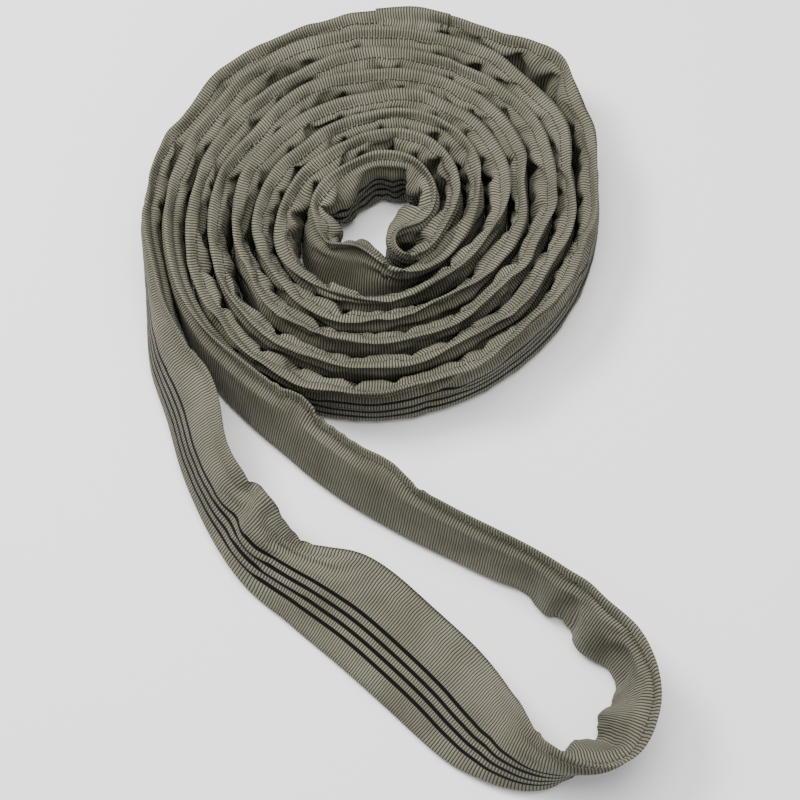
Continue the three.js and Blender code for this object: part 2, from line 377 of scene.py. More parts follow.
FOLD_KNOTS, FOLD_LAST = 4, 2.999
FOLD_SLANT = 0.9
FOLD_HIGHEST = 1.6
FOLD_POWER = 0.8
FOLD_FLOOR = 0.55


def folds(long):
    """Puffs between sharp valleys that run up the sleeve at a slant, stations x half rows."""
    count = int(round(2 * LENGTH / long))
    knots = RANDOM.normal(size=(count, FOLD_KNOTS))
    knots[:, 1:] += FOLD_SLANT * knots[:, :-1]
    columns = catmull(knots, np.arange(STATIONS) / STATIONS * count)
    place = HALF_ROUND / CREST * FOLD_LAST
    low = place.astype(int)
    part = place - low
    field = columns[:, low] * (1 - part) + columns[:, low + 1] * part
    return np.minimum(np.abs(field), FOLD_HIGHEST) ** FOLD_POWER - FOLD_FLOOR


def along_loop(keys):
    """A value keyed along the free loop by distance from its start, and 0 in the coil."""
    distances, values = zip(*keys)
    return np.where(in_loop, np.interp(LOOP_PART, distances, values), 0.0)


LOOP_LENGTH = LOOP_PART.max() + STEP
STRAND_SIGN = np.where(KIND == OUTER_STRAND, 1.0, np.where(KIND == INNER_STRAND, -1.0, 0.0))
STRAND_SIGN = soften(STRAND_SIGN, 12)

FLANGE_LEAN = 44
FLANGE_SWAY, FLANGE_SWAY_LONG = 11, 80
FLANGE_QUIVER, FLANGE_QUIVER_LONG = 8, 38
FLANGE_LEAST, FLANGE_MOST = 12, 76
LOOP_FLANGE_SWAY, LOOP_FLANGE_LONG = 4, 70
LOOP_FLANGE = [
    (0, -44), (60, -30), (130, -10), (330, -6), (420, 6), (520, -8), (640, -16),
    (LOOP_LENGTH - 150, -10), (LOOP_LENGTH - 60, 25), (LOOP_LENGTH, 44),
]


def flange_angle():
    """Angle of the flange from upright, towards the striped face."""
    coil = FLANGE_LEAN + FLANGE_SWAY * wave(FLANGE_SWAY_LONG)
    coil = np.clip(coil + FLANGE_QUIVER * wave(FLANGE_QUIVER_LONG), FLANGE_LEAST, FLANGE_MOST)
    loop = along_loop(LOOP_FLANGE) + LOOP_FLANGE_SWAY * wave(LOOP_FLANGE_LONG)
    return np.radians(soften(np.where(in_loop, loop, coil * STRAND_SIGN), 3))


FLAT_FROM, FLAT_TO = 30, 65


def flatness():
    """How far the sleeve lies flat, from 0 to 1: only where the free loop leans steeply."""
    return np.where(in_loop, smoothstep(np.degrees(LEAN), FLAT_FROM, FLAT_TO), 0.0)


FLAT = flatness()


def half_body(outward):
    """One side of the body, from bottom fold to seam: outward is how far it faces out."""
    loose, flat = np.array(BODY_LOOSE), np.array(BODY_FLAT)
    wound = np.where(outward[:, None, None] > 0, np.array(BODY_OUTWARD), np.array(BODY_INWARD))
    share = np.abs(outward)[:, None, None]
    still = loose * (1 - FLAT[:, None, None]) + flat * FLAT[:, None, None]
    return wound * share + still * (1 - share)


MOST_EXCESS = 0.16


def coil_excess():
    """How much longer the cloth is than the path on its inner side, for folds there."""
    return soften(np.minimum(SLEEVE_THICKNESS * np.abs(CURVATURE), MOST_EXCESS), 10)


# Folds and bulges that stand out on this sling, listed one by one. Each says where it is along the
# sling, its place round the sleeve, how far it reaches along and round, and how far it moves the
# cloth across and up. On the free loop the first number is the distance from the loop's start.
# In the coil the first two say whether it is on the outer strand, and the coil angle.
LOOP_FOLDS = [
    (172, 68, 10, 26, 1, 8.0), (189, 68, 6, 24, 0, -3.5), (206, 68, 10, 26, 0, -1.5),
    (244, 68, 14, 28, 1, 6.5), (268, 70, 8, 26, 0, -2.0), (300, 122, 60, 34, 2.0, 0),
    (352, 125, 13, 34, 4.5, 0),
    (372, 122, 8, 30, -2.5, 0), (387, 128, 8, 40, 8.0, 1), (406, 120, 9, 32, -4.0, 0),
    (434, 128, 13, 40, 8.0, 1), (477, 122, 10, 32, -8.0, 0), (497, 126, 5, 30, 6.0, 0),
    (519, 112, 10, 26, -8.0, 3), (538, 116, 6, 18, 3.0, 0), (466, 64, 36, 44, -5.0, 0),
    (120, 40, 50, 30, 1.5, 0), (230, 44, 40, 28, 1.5, 0),
    (572, 68, 8, 24, 0, 3.5), (552, 68, 8, 24, -1, -4.0), (580, 48, 5, 26, -1.8, 0),
    (640, 50, 30, 26, 1.5, 0), (700, 60, 26, 24, 3.0, 2),
    (757, 36, 9, 16, -3.0, 0), (772, 46, 12, 22, 3.5, -3),
    (747, 70, 24, 18, 0, -15.0), (747, 48, 26, 15, -6.0, -4.0), (747, 92, 26, 15, -5.5, -4.0),
    (880, 70, 40, 26, -8.0, 0), (788, 70, 7, 20, 5.0, 7.0), (803, 68, 7, 22, -3.0, -6.0),
    (796, 48, 6, 20, -3.5, 0), (830, 70, 20, 26, 0, -1.5), (600, 118, 40, 30, 1.5, 0),
    (870, 66, 26, 26, 0.5, 2.5), (905, 64, 10, 22, 0, -2.5), (925, 66, 12, 24, 0, 2.0),
    (14, 116, 32, 28, -3.5, 0), (946, 116, 32, 28, -3.5, 0),
]
COIL_FOLDS = [
    (False, 255, 0, 40, 46, 8.0, 0), (False, 285, 45, 16, 24, 4.0, -1), (False, 222, 30, 9, 40, -5, 0),
    (False, -12, 44, 20, 28, 8.0, -3), (False, 20, 40, 9, 30, -4, 0), (False, 150, 36, 12, 30, 5, 0),
    (False, 176, 36, 7, 30, -5, 0), (False, 196, 30, 10, 34, 6, 0), (False, 100, 40, 8, 34, -4, 0),
    (True, 1124, 56, 10, 34, 5.0, 1), (True, 1108, 50, 4, 34, -5.0, 0), (True, 1128, 50, 4, 34, -4.5, 0),
    (True, 1003, 28, 3, 24, -2.0, 0), (False, -54, 68, 16, 40, 4.5, 0), (True, -54, 68, 16, 40, 4.5, 0),
    (True, 1124, 66, 11, 26, 4.0, 2),
    (False, 0, 100, 24, 30, -3.5, 0), (True, 0, 100, 24, 30, -3.0, 0), (True, 0, 40, 24, 30, 3.0, 0),
    (False, 360, 40, 26, 30, 3.0, 0), (True, 212, 100, 28, 30, -6.0, 0), (False, 208, 116, 28, 28, -7.0, 0),
]
LOOP_TWIST = [
    (0, 0), (300, 0), (380, -2), (470, -4), (540, 0), (740, 3), (785, -1), (820, -7),
    (900, -6), (960, 0),
]


def add_folds(shape):
    """Moves the cloth, in place, by each of the listed folds."""
    first = RUN[loop_start]
    folds_at = [(first + fold[0],) + fold[1:] for fold in LOOP_FOLDS]
    folds_at += [(run_at(fold[1], fold[0]),) + fold[2:] for fold in COIL_FOLDS]
    for run, place, reach, spread, across, upward in folds_at:
        away = np.abs(RUN - run)
        away = np.minimum(away, LENGTH - away)
        beside = np.abs(ROUND - place)
        beside = np.minimum(beside, GIRTH - beside)
        size = np.exp(-(away / reach) ** 2)[:, None] * np.exp(-(beside / spread) ** 2)[None]
        shape[..., 0] += size * across
        shape[..., 1] += size * upward


TWIST_HEIGHT = 20


def twist(shape):
    """Turns the free loop's sections, in place, about a line TWIST_HEIGHT above the fold."""
    angle = np.radians(soften(along_loop(LOOP_TWIST), 4))[:, None]
    a, h = shape[..., 0].copy(), shape[..., 1] - TWIST_HEIGHT
    shape[..., 0] = a * np.cos(angle) - h * np.sin(angle)
    shape[..., 1] = TWIST_HEIGHT + h * np.cos(angle) + a * np.sin(angle)


# The random folds: wavelengths, sizes on each face, and where round the sleeve they fade out.
FOLD_LONG, FINE_FOLD_LONG, FINE_SHARE = 27, 15, 0.35
INWARD_FOLD, INWARD_FOLD_BY_SPARE, OUTWARD_FOLD, LOOP_FOLD = 1.5, 24, 0.35, 0.22
FOLD_END, FOLD_FADE = 64, 0.6
POCKET_DEPTH = 4.5
POCKET_FROM, POCKET_TO, POCKET_END = 30, 48, 61
POCKET_SHARP = 0.22
SWAY, SWAY_LONG, QUIVER, QUIVER_LONG = 1.7, 90, 1.3, 44
DROP, DROP_LONG, DIP, DIP_LONG, DROP_MOST = 0.030, 70, 0.016, 30, 0.11
SEAM_PLACE = 61.5
FLANGE_SHARE = 4.2
FLANGE_LONG = 8.5

# The back wall of the coil's opening is calmer than the rest, and its cloth is tauter.
CALM_ANGLE = 88
CALM_SHARE = 0.95
CALM_REACH = 32.0
CALM = np.exp(-((RUN - run_at(CALM_ANGLE, False)) / CALM_REACH) ** 2)
CALM_TAUT = 0.24

# The wound sleeve swells low down, where the yarn lies.
LOW_SWELL = 1.2
LOW_PLACE = 13.0
LOW_SPREAD = 9.0


def build_target():
    """The sleeve's shape before it is let go, as stations x rows of across, up."""
    shape = np.zeros((STATIONS, ROWS, 2))
    body_round = HALF_ROUND[:SEAM_ROW + 1]
    tops = (body_round / SEAM_PLACE) ** 2
    wound = np.abs(STRAND_SIGN)
    spare = coil_excess() * wound
    calm = 1 - CALM_SHARE * CALM
    for face in (1, -1):
        body = half_body(STRAND_SIGN * face)
        inward = np.clip(-STRAND_SIGN * face, 0, 1)
        outward = np.clip(STRAND_SIGN * face, 0, 1)
        deep = folds(FOLD_LONG)[:, :SEAM_ROW + 1]
        fine = folds(FINE_FOLD_LONG)[:, :SEAM_ROW + 1]
        size = inward * calm * (INWARD_FOLD + INWARD_FOLD_BY_SPARE * spare) + outward * OUTWARD_FOLD
        size = (size + (1 - wound) * LOOP_FOLD)[:, None]
        fade = np.sin(np.pi * np.clip(body_round / FOLD_END, 0, 1)) ** FOLD_FADE
        body[..., 0] += size * (deep + FINE_SHARE * fine) * fade
        pocket = smoothstep(body_round, POCKET_FROM, POCKET_TO) * (body_round < POCKET_END)
        sharp = np.exp(-(deep + FOLD_FLOOR) / POCKET_SHARP)
        body[..., 0] -= (inward * calm * wound)[:, None] * POCKET_DEPTH * pocket * sharp
        low = np.exp(-((body_round - LOW_PLACE) / LOW_SPREAD) ** 2)
        body[..., 0] += wound[:, None] * LOW_SWELL * low
        if face > 0:
            shape[:, :SEAM_ROW + 1] = body
        else:
            shape[:, ROWS - 1:ROWS - SEAM_ROW - 1:-1] = body[:, 1:] * np.array([-1, 1])
    sway = (SWAY * wave(SWAY_LONG) + QUIVER * wave(QUIVER_LONG)) * wound
    drop = DROP * (1 + wave(DROP_LONG)) + DIP * (1 + wave(DIP_LONG))
    drop = np.clip(drop, 0, DROP_MOST) * wound
    rows = list(range(SEAM_ROW + 1)) + list(range(ROWS - 1, ROWS - SEAM_ROW - 1, -1))
    weight = np.concatenate([tops, tops[1:]])
    shape[:, rows, 0] += sway[:, None] * weight
    shape[:, rows, 1] *= 1 - drop[:, None] * weight
    seam = (shape[:, SEAM_ROW] + shape[:, ROWS - SEAM_ROW]) / 2
    angle = flange_angle()
    flange_up = np.stack([np.sin(angle), np.cos(angle)], axis=1)
    flange_across = np.stack([np.cos(angle), -np.sin(angle)], axis=1)
    for row, reach, half in (
        (SEAM_ROW, 0, SEAM_HALF), (SEAM_ROW + 1, FLANGE_SHARE, FLANGE_HALF), (CREST_ROW, FLANGE_LONG, 0),
    ):
        middle = seam + flange_up * reach
        shape[:, row] = middle + flange_across * half
        shape[:, ROWS - row] = middle - flange_across * half
    twist(shape)
    add_folds(shape)
    return shape


TARGET = build_target()


def to_world(shape):
    """Sections of across and up as points in space."""
    return (
        ORIGIN[:, None]
        + ACROSS[:, None] * shape[..., :1]
        + (UPWARD + SLOPE)[:, None] * shape[..., 1:2]
    )


WIDEST_GAP = 60.0
NO_NEIGHBOUR = 99
BLOCK = 280
AHEAD = 6
LEAST_APART = 26


def clearances():
    """Half the distance from each station to the next strand, on its left and its right."""
    reach = {}
    plan = LINE[:, :2]
    normal = side[:, :2]
    for sign in (1, -1):
        best = np.full(STATIONS, WIDEST_GAP)
        for first in range(0, STATIONS, BLOCK):
            rows = slice(first, first + BLOCK)
            gap = plan[None] - plan[rows, None]
            ahead = np.abs(np.einsum("ijk,ik->ij", gap, tangent[rows]))
            beside = sign * np.einsum("ijk,ik->ij", gap, normal[rows])
            apart = np.abs(np.arange(STATIONS)[None] - np.arange(STATIONS)[rows, None])
            apart = np.minimum(apart, STATIONS - apart) * STEP
            near = (ahead < AHEAD) & (beside > 0) & (apart > LEAST_APART)
            best[rows] = np.minimum(best[rows], np.where(near, beside, NO_NEIGHBOUR).min(axis=1))
        for _ in range(2):
            best = np.minimum(best, 0.5 * (np.roll(best, 1) + np.roll(best, -1)))
        reach[sign] = best / 2 + BIGHT_ROOM * NEAR_BIGHT
    return reach[1], reach[-1]


ROOM_LEFT, ROOM_RIGHT = clearances()

WANDER_SIZE = 1.7
WANDER_SEED = 23
WANDER_LONGS = (120, 96, 80, 66, 54, 46)
WANDER_UNIT = 1.8
BIGHT_PUSH = (13.0, 78.0)
BIGHT_PUSH_SIZE, BIGHT_PUSH_REACH = 2.4, 30


def wander(points):
    """Smooth random shift of the gaps between strands, by place, about unit size."""
    rng = np.random.default_rng(WANDER_SEED)
    total = np.zeros(len(points))
    for long in WANDER_LONGS:
        heading, phase = rng.uniform(0, 2 * math.pi, 2)
        along = points[:, 0] * math.cos(heading) + points[:, 1] * math.sin(heading)
        total += np.sin(along * 2 * math.pi / long + phase)
    from_bight = np.hypot(points[:, 0] - BIGHT_PUSH[0], points[:, 1] - BIGHT_PUSH[1])
    push = BIGHT_PUSH_SIZE * np.exp(-(from_bight / BIGHT_PUSH_REACH) ** 2)
    return total / WANDER_UNIT + push


plan_side = side[:, :2]
WANDER_LEFT = WANDER_SIZE * STRAND_SIGN * wander(LINE[:, :2] + plan_side * ROOM_LEFT[:, None])
WANDER_RIGHT = WANDER_SIZE * STRAND_SIGN * wander(LINE[:, :2] - plan_side * ROOM_RIGHT[:, None])

# ---- cloth: the sleeve let go ----

# Each of PASSES time steps lets the cloth move on and fall, then sets its lengths ROUNDS times.
PASSES = 150
ROUNDS = 3
BLUR = 20
THREAD_GIVE = 0.9
SHEAR_GIVE = 0.06
BEND_ALONG_GIVE = 0.018
BEND_ROUND_GIVE = 0.05
LONGEST_SPAN = 1.05
DAMPING = 0.82
GRAVITY_STEP = 0.012
SHAPE_HOLD = 0.010
LOOP_HOLD = 0.030
SLACK = 0.020
LOOP_SLACK = 0.004
TIGHTEST_STRETCH = 0.13
SEAM_BEND = 0.5
OUTWARD_TAUT = 0.75
HEIGHTS = 0.8 * np.minimum(ROUND, GIRTH - ROUND)
SEAM_SLACK = 0.35
HANK_HALF = 3.4
HANK_SHIFT = 1.6
HANK_MIDDLE = 19.0
HANK_REACH = 17.0
LAYER_GAP = 2.2
WALL_GAP = 0.45
LEAN_ROOM = 3.6
FLOOR_GAP = 0.9
TIP_FROM, TIP_TO = 46, 53
WANDER_LEAST, WANDER_FROM, WANDER_TO = 0.3, 4, 40
NO_HANK = -99


SHORTEST = 1e-6


def pull(a, b, rest, give):
    """Moves two sets of points so that each pair is nearer its rest distance."""
    d = b - a
    length = np.sqrt(np.einsum("...k,...k->...", d, d))
    move = (0.5 * give * (1 - rest / np.maximum(length, SHORTEST)))[..., None] * d
    a += move
    b -= move


def nudge(points, rest, shift, give):
    """The same for every pair at that grid offset at once, with a smaller share each."""
    axes = (0, 1)
    other = np.roll(points, shift, axes)
    d = other - points
    length = np.sqrt(np.einsum("...k,...k->...", d, d))
    move = (give * (1 - rest / np.maximum(length, SHORTEST)))[..., None] * d
    points += move
    points -= np.roll(move, tuple(-s for s in shift), axes)


def collide(points):
    """Moves the cloth, in place, off its neighbours, the hank, its other face and the floor."""
    local = points - ORIGIN[:, None]
    h = np.einsum("ijk,ik->ij", local, UPWARD)
    a = np.einsum("ijk,ik->ij", local - h[..., None] * SLOPE[:, None], ACROSS)
    leant = h * SLOPE_ACROSS[:, None]
    tip = smoothstep(h, TIP_FROM, TIP_TO) * STRAND_SIGN[:, None] * LEAN_ROOM
    high = WANDER_LEAST + (1 - WANDER_LEAST) * smoothstep(h, WANDER_FROM, WANDER_TO)
    left_wall = ROOM_LEFT[:, None] - WALL_GAP + tip + WANDER_LEFT[:, None] * high
    right_wall = tip - (ROOM_RIGHT[:, None] - WALL_GAP) + WANDER_RIGHT[:, None] * high
    new = np.maximum(np.minimum(a, left_wall - leant), right_wall - leant)
    inside = 1 - ((h - HANK_MIDDLE) / HANK_REACH) ** 2
    hank = HANK_HALF * np.sqrt(np.maximum(inside, 0))
    hank = np.where(inside > 0, hank, NO_HANK)
    shift = HANK_SHIFT * STRAND_SIGN[:, None]
    left, right = slice(1, SEAM_ROW), slice(ROWS - 1, ROWS - SEAM_ROW, -1)
    new[:, left] = np.maximum(new[:, left], hank[:, left] + shift)
    new[:, right] = np.minimum(new[:, right], shift - hank[:, right])
    overlap = LAYER_GAP - (new[:, left] - new[:, right])
    overlap = np.maximum(overlap, 0) / 2
    new[:, left] += overlap
    new[:, right] -= overlap
    points += (new - a)[..., None] * ACROSS[:, None]
    points[..., 2] = np.maximum(points[..., 2], FLOOR_GAP)


def rest_lengths(target):
    """The threads' own lengths, along the sling and round it."""
    closed = np.concatenate([ORIGIN, ORIGIN[:1]])
    span = np.linalg.norm(np.diff(closed[:, :2], axis=0), axis=1)
    bend = soften(np.minimum(SLEEVE_THICKNESS / 2 * np.abs(CURVATURE), TIGHTEST_STRETCH), BLUR)
    slack = soften(np.where(in_loop, LOOP_SLACK, SLACK), BLUR)
    faces = np.sign(CREST - ROUND) * (ROUND > 0)
    outward = np.clip(STRAND_SIGN[:, None] * faces[None], 0, 1)
    slack_rows = slack[:, None] * (1 - OUTWARD_TAUT * outward)
    lines = ORIGIN[:, None] + (UPWARD + SLOPE)[:, None] * (HEIGHTS[None, :, None])
    spans = np.linalg.norm(np.roll(lines, -1, 0) - lines, axis=2)
    spans = np.minimum(spans, span[:, None] * LONGEST_SPAN)
    inward = np.clip(-STRAND_SIGN[:, None] * faces[None], 0, 1)
    rest_along = spans * (1 + bend[:, None] + slack_rows - CALM_TAUT * CALM[:, None] * inward)
    top = slice(SEAM_ROW, ROWS - SEAM_ROW + 1)
    rest_along[:, top] = spans[:, top] * (1 + SEAM_BEND * bend + SEAM_SLACK * slack)[:, None]
    own = np.linalg.norm(np.roll(target, -1, 0) - target, axis=2) * (1 + LOOP_SLACK)
    free = soften(np.where(in_loop, 1.0, 0.0), BLUR)[:, None]
    rest_along = rest_along * (1 - free) + own * free
    rest_round = np.diff(np.concatenate([ROUND, [GIRTH]]))[None] * np.ones((STATIONS, 1))
    return rest_along, rest_round


def let_go(points, target):
    rest_along, rest_round = rest_lengths(target)
    rest_cross = np.hypot(rest_along, rest_round)
    bend_round = np.linalg.norm(np.roll(target, -2, 1) - target, axis=2)
    hold = soften(np.where(in_loop, LOOP_HOLD, SHAPE_HOLD), BLUR)[:, None, None]
    last = points.copy()
    for _ in range(PASSES):
        speed = (points - last) * DAMPING
        last = points.copy()
        points = points + speed
        points[..., 2] -= GRAVITY_STEP
        for _ in range(ROUNDS):
            pull(points[0::2], points[1::2], rest_along[0::2], THREAD_GIVE)
            pull(points[1:-1:2], points[2::2], rest_along[1:-1:2], THREAD_GIVE)
            pull(points[-1], points[0], rest_along[-1], THREAD_GIVE)
            pull(points[:, 0::2], points[:, 1::2], rest_round[:, 0::2], THREAD_GIVE)
            pull(points[:, 1:-1:2], points[:, 2::2], rest_round[:, 1:-1:2], THREAD_GIVE)
            pull(points[:, -1], points[:, 0], rest_round[:, -1], THREAD_GIVE)
            nudge(points, rest_cross, (-1, -1), SHEAR_GIVE)
            nudge(points, rest_cross, (-1, 1), SHEAR_GIVE)
            nudge(points, 2 * rest_along, (-2, 0), BEND_ALONG_GIVE)
            nudge(points, bend_round, (0, -2), BEND_ROUND_GIVE)
            pull(points[:, SEAM_ROW], points[:, ROWS - SEAM_ROW], 2 * SEAM_HALF, 1.0)
            pull(points[:, SEAM_ROW + 1], points[:, ROWS - SEAM_ROW - 1], 2 * FLANGE_HALF, 1.0)
            points += hold * (target - points)
            collide(points)
    return points


def make_sleeve_points():
    target = to_world(TARGET)
    points = target.copy()
    return let_go(points, target)


SLEEVE = make_sleeve_points()

# ---- surfaces ----

SURFACE_STATIONS = 1680
SURFACE_ROUND = 44
CLOTH = 0.9
TINY = 1e-9


def finer(points, stations, rows):
    """The sleeve's points on a finer grid, even along the sling and round it."""
    along = np.arange(stations) * STATIONS / stations
    points = catmull(points, along)
    round_at = np.arange(rows) * GIRTH / rows
    place = np.interp(round_at, np.concatenate([ROUND, [GIRTH]]), np.arange(ROWS + 1))
    return np.moveaxis(catmull(np.moveaxis(points, 1, 0), place), 0, 1)


def turned(items, flip):
    """The items, in reverse order if flip is true."""
    return items[::-1] if flip else items


def grid_normals(points):
    du = np.roll(points, -1, 0) - np.roll(points, 1, 0)
    dv = np.roll(points, -1, 1) - np.roll(points, 1, 1)
    normal = np.cross(du, dv)
    return normal / np.maximum(np.linalg.norm(normal, axis=2), TINY)[..., None]


def torus_faces(stations, rows, first, flip):
    i, j = np.meshgrid(np.arange(stations), np.arange(rows), indexing="ij")
    i2, j2 = (i + 1) % stations, (j + 1) % rows
    quads = turned([i * rows + j, i2 * rows + j, i2 * rows + j2, i * rows + j2], flip)
    return np.stack(quads, axis=-1).reshape(-1, 4) + first


def torus_uvs(stations, rows, length, flip):
    """One UV per face corner: distance along the sling and round it, in metres."""
    i, j = np.meshgrid(np.arange(stations), np.arange(rows), indexing="ij")
    u = np.stack(turned([i, i + 1, i + 1, i], flip), axis=-1) * (length * MM / stations)
    v = np.stack(turned([j, j, j + 1, j + 1], flip), axis=-1) * (0.140 / rows)
    return np.stack([u, v], axis=-1).reshape(-1, 2)


def new_mesh(name, points, faces, uvs, material):
    """A smooth piece from points in mm, faces, and one UV in metres per face corner."""
    mesh = bpy.data.meshes.new(name)
    mesh.from_pydata((np.asarray(points) * MM).tolist(), [], np.asarray(faces).tolist())
    layer = mesh.uv_layers.new(name="cloth_run")
    layer.data.foreach_set("uv", np.asarray(uvs, np.float32).ravel())
    mesh.polygons.foreach_set("use_smooth", [True] * len(mesh.polygons))
    mesh.materials.append(material)
    mesh.update()
    piece = bpy.data.objects.new(name, mesh)
    bpy.context.scene.collection.objects.link(piece)
    return piece


SURFACE = finer(SLEEVE, SURFACE_STATIONS, SURFACE_ROUND)
SURFACE_NORMAL = grid_normals(SURFACE)
from_middle = SURFACE - SURFACE.mean(axis=1, keepdims=True)
# The grid's own normals may point inwards; then they and every face are turned over.
FLIP = bool(np.einsum("ijk,ijk->ij", SURFACE_NORMAL, from_middle).mean() < 0)
if FLIP:
    SURFACE_NORMAL = -SURFACE_NORMAL

# ---- materials ----


class Nodes:
    """Short names for building a node material."""

    def __init__(self, name):
        self.material = bpy.data.materials.new(name)
        self.material.use_nodes = True
        self.tree = self.material.node_tree
        self.shader = self.tree.nodes["Principled BSDF"]

    def node(self, kind, **settings):
        node = self.tree.nodes.new(kind)
        for key, value in settings.items():
            setattr(node, key, value)
        return node

    def link(self, source, target):
        self.tree.links.new(source, target)

    def math(self, operation, *values):
        node = self.node("ShaderNodeMath", operation=operation)
        for index, value in enumerate(values):
            if isinstance(value, (int, float)):
                node.inputs[index].default_value = value
            else:
                self.link(value, node.inputs[index])
        return node.outputs[0]

    def noise(self, vector, scale, detail=2.0, roughness=0.5):
        node = self.node("ShaderNodeTexNoise")
        node.inputs["Scale"].default_value = scale
        node.inputs["Detail"].default_value = detail
        node.inputs["Roughness"].default_value = roughness
        self.link(vector, node.inputs["Vector"])
        return node.outputs["Fac"]

    def mix(self, fac, a, b):
        node = self.node("ShaderNodeMix", data_type="RGBA")
        for key, value in (("Factor", fac), ("A", a), ("B", b)):
            socket = [s for s in node.inputs if s.name == key and s.enabled][0]
            if isinstance(value, (int, float, tuple)):
                socket.default_value = value
            else:
                self.link(value, socket)
        return [s for s in node.outputs if s.enabled][0]

    def ramp(self, value, low, high, to_low=0.0, to_high=1.0):
        node = self.node("ShaderNodeMapRange", interpolation_type="SMOOTHSTEP")
        self.link(value, node.inputs["Value"])
        for key, number in (
            ("From Min", low), ("From Max", high), ("To Min", to_low), ("To Max", to_high)
        ):
            node.inputs[key].default_value = number
        return node.outputs["Result"]

    def bump(self, height, distance, strength=1.0):
        node = self.node("ShaderNodeBump")
        node.inputs["Strength"].default_value = strength
        node.inputs["Distance"].default_value = distance
        self.link(height, node.inputs["Height"])
        self.link(node.outputs["Normal"], self.shader.inputs["Normal"])


# In metres, as the UVs are: along the sling for the ribs, round it for the stripes.
RIB_PITCH = 0.0018
YARN_PITCH = 0.00085
RIB_WAVER = 0.0011
STRIPES = (0.0175, 0.0240, 0.0305, 0.0370)
STRIPE_HALF = 0.00112
STRIPE_BEAD = 0.00030
# Painted shade: the near-black colour laid into the grooves between the ribs.
PAINTED_RIB_GROOVE_SHADE = (0.020, 0.018, 0.012, 1)
CLOTH_MID = (0.115, 0.109, 0.080, 1)
CLOTH_LIGHT = (0.215, 0.204, 0.155, 1)
STRIPE_DARK = (0.0015, 0.0015, 0.0015, 1)
STRIPE_RIB = (0.0045, 0.0042, 0.0038, 1)


def sleeve_material():
    m = Nodes("woven_sleeve_ribbed")
    uv = m.node("ShaderNodeUVMap", uv_map="cloth_run").outputs["UV"]
    parts = m.node("ShaderNodeSeparateXYZ")
    m.link(uv, parts.inputs[0])
    u, v = parts.outputs[0], parts.outputs[1]

    stretched = m.node("ShaderNodeMapping")
    m.link(uv, stretched.inputs["Vector"])
    stretched.inputs["Scale"].default_value = (1.0, 3.0, 1.0)
    slow = m.noise(uv, 28.0, 3.0)
    fine = m.noise(stretched.outputs[0], 900.0, 2.0, 0.6)
    waver = m.math("MULTIPLY", m.math("SUBTRACT", m.noise(uv, 60.0, 2.0), 0.5), RIB_WAVER)
    along = m.math("ADD", u, waver)
    cycle = m.math("MULTIPLY", along, 2 * math.pi / RIB_PITCH)
    rib = m.math("ADD", m.math("MULTIPLY", m.math("SINE", cycle), 0.5), 0.5)
    across = m.math("MULTIPLY", v, 2 * math.pi / YARN_PITCH)
    yarn = m.math("ADD", m.math("MULTIPLY", m.math("SINE", across), 0.5), 0.5)
    rib = m.math("POWER", rib, 0.7)

    height = m.math("ADD", m.math("MULTIPLY", rib, 0.85), m.math("MULTIPLY", yarn, 0.10))
    height = m.math("ADD", height, m.math("MULTIPLY", fine, 0.22))
    m.bump(height, 0.00060, 0.9)

    tone = m.math("ADD", m.math("MULTIPLY", slow, 0.55), m.math("MULTIPLY", fine, 0.55))
    body = m.mix(m.ramp(tone, 0.35, 0.75), CLOTH_MID, CLOTH_LIGHT)
    # Painted shade: the grooves between the ribs are coloured near black, on top of their bump.
    gap = m.ramp(rib, 0.08, 0.74)
    body = m.mix(gap, PAINTED_RIB_GROOVE_SHADE, body)

    stripe = None
    for place in STRIPES:
        off = m.math("ABSOLUTE", m.math("SUBTRACT", v, place))
        off = m.math("SUBTRACT", off, m.math("MULTIPLY", rib, STRIPE_BEAD))
        line = m.ramp(off, STRIPE_HALF * 0.75, STRIPE_HALF * 1.15, 1.0, 0.0)
        stripe = line if stripe is None else m.math("MAXIMUM", stripe, line)
    dash = m.mix(m.ramp(rib, 0.5, 0.95), STRIPE_DARK, STRIPE_RIB)
    color = m.mix(stripe, body, dash)
    m.link(color, m.shader.inputs["Base Color"])
    rough = m.ramp(tone, 0.3, 0.8, 0.84, 0.70)
    m.link(m.math("MAXIMUM", rough, m.math("MULTIPLY", stripe, 0.97)), m.shader.inputs["Roughness"])
    m.shader.inputs["Specular IOR Level"].default_value = 0.16
    m.shader.inputs["Sheen Weight"].default_value = 0.02
    m.shader.inputs["Sheen Roughness"].default_value = 0.45
    return m.material


SLEEVE_MATERIAL = sleeve_material()


def make_sleeve():
    outer = SURFACE
    inner = SURFACE - SURFACE_NORMAL * CLOTH
    points = np.concatenate([outer.reshape(-1, 3), inner.reshape(-1, 3)])
    count = SURFACE_STATIONS * SURFACE_ROUND
    faces = np.concatenate([
        torus_faces(SURFACE_STATIONS, SURFACE_ROUND, 0, FLIP),
        torus_faces(SURFACE_STATIONS, SURFACE_ROUND, count, not FLIP),
    ])
    uvs = np.concatenate([
        torus_uvs(SURFACE_STATIONS, SURFACE_ROUND, LENGTH, FLIP),
        torus_uvs(SURFACE_STATIONS, SURFACE_ROUND, LENGTH, not FLIP),
    ])
    return new_mesh("woven_sleeve", points, faces, uvs, SLEEVE_MATERIAL)


sleeve = make_sleeve()
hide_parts("coil_sleeve", "free_loop_sleeve")

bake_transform(sleeve)

# ---- the yarn hank ----

HANK_ROUND_MIDDLE = 23.0
HANK_ROUND_REACH = 21.5
HANK_FLOOR = 2.4


